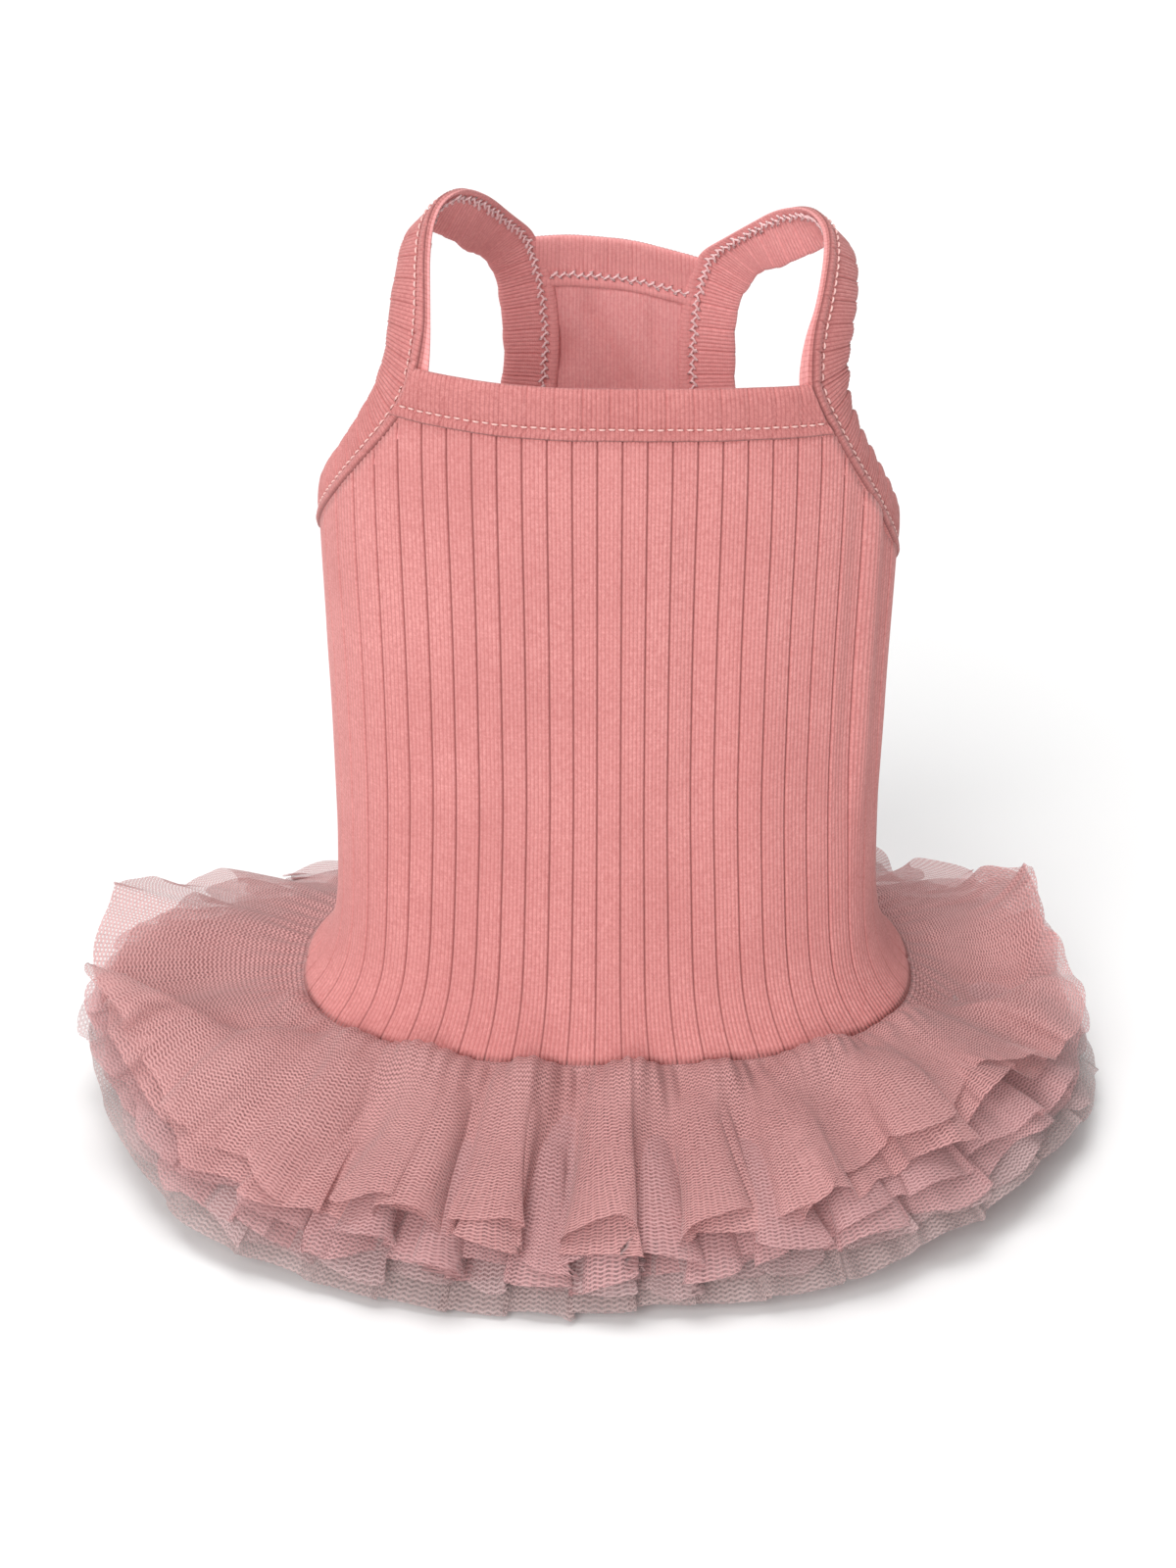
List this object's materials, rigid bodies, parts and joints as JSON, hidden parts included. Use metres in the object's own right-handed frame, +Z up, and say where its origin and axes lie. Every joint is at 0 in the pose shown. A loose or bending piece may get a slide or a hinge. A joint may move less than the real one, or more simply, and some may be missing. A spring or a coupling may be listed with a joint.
{
  "type": "dog tutu dress",
  "caption": "Small dog's sleeveless dress: a ribbed knit tube bodice with folded bands and shoulder straps, and a gathered tulle tutu round its hem.",
  "frame": {"origin": "where the wearer carries the dress: between the two shoulder straps, just under their tops", "axes": "+Z up out of the neck, -Y towards the panel with the lower neckline, +X to the right as that panel is looked at"},
  "size_m": [0.2685, 0.2153, 0.242],
  "materials": {
    "rib_knit": "matt drop-needle rib knit",
    "band_knit": "matt folded rib knit",
    "tulle": "soft matt net"
  },
  "bodies": {
    "root": {"bodice_front": "rib_knit", "bodice_back": "rib_knit", "neck_band_front": "band_knit", "neck_band_back": "band_knit", "strap_binding_left": "band_knit", "strap_binding_right": "band_knit", "tulle_top": "tulle", "tulle_middle": "tulle", "tulle_bottom": "tulle"}
  },
  "joints": []
}
